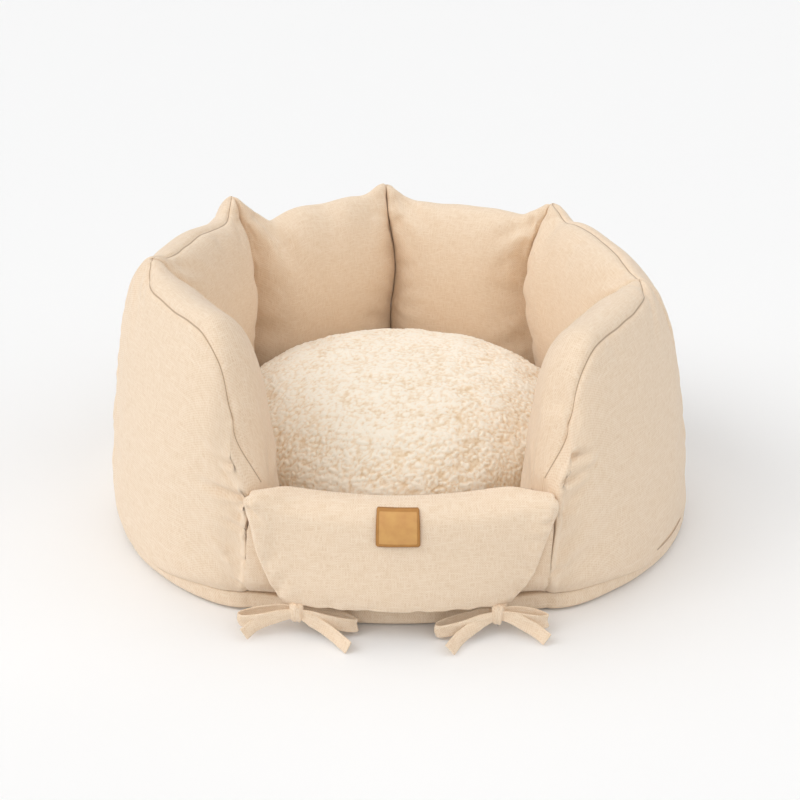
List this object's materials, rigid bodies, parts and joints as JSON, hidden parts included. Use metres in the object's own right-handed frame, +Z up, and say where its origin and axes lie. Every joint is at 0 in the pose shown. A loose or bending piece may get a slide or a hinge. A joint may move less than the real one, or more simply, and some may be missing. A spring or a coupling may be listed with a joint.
{
  "type": "orthopedic dog bed",
  "caption": "Round padded dog bed in beige canvas: tall pillow walls, a crowned fleece cushion, and a low front panel folded outwards and tied with fabric bows.",
  "frame": {"origin": "middle of the flat underside of the floor pad, on the floor", "axes": "+Z up; the low front entrance faces -Y; +X is to the right of someone who looks at the entrance"},
  "size_m": [0.604, 0.6203, 0.286],
  "materials": {
    "canvas": "plain woven slub cotton canvas, matt",
    "fleece": "curly short-pile sherpa fleece",
    "leather": "smooth tan leather with a pressed border"
  },
  "bodies": {
    "root": {"floor_pad": "canvas", "wall_right_front": "canvas", "wall_right_back": "canvas", "wall_back_right": "canvas", "wall_back_left": "canvas", "wall_left_back": "canvas", "wall_left_front": "canvas", "front_panel": "canvas", "tie_left_flap": "canvas", "tie_left_pad": "canvas", "tie_right_flap": "canvas", "tie_right_pad": "canvas", "cushion": "fleece", "label": "leather"}
  },
  "joints": []
}
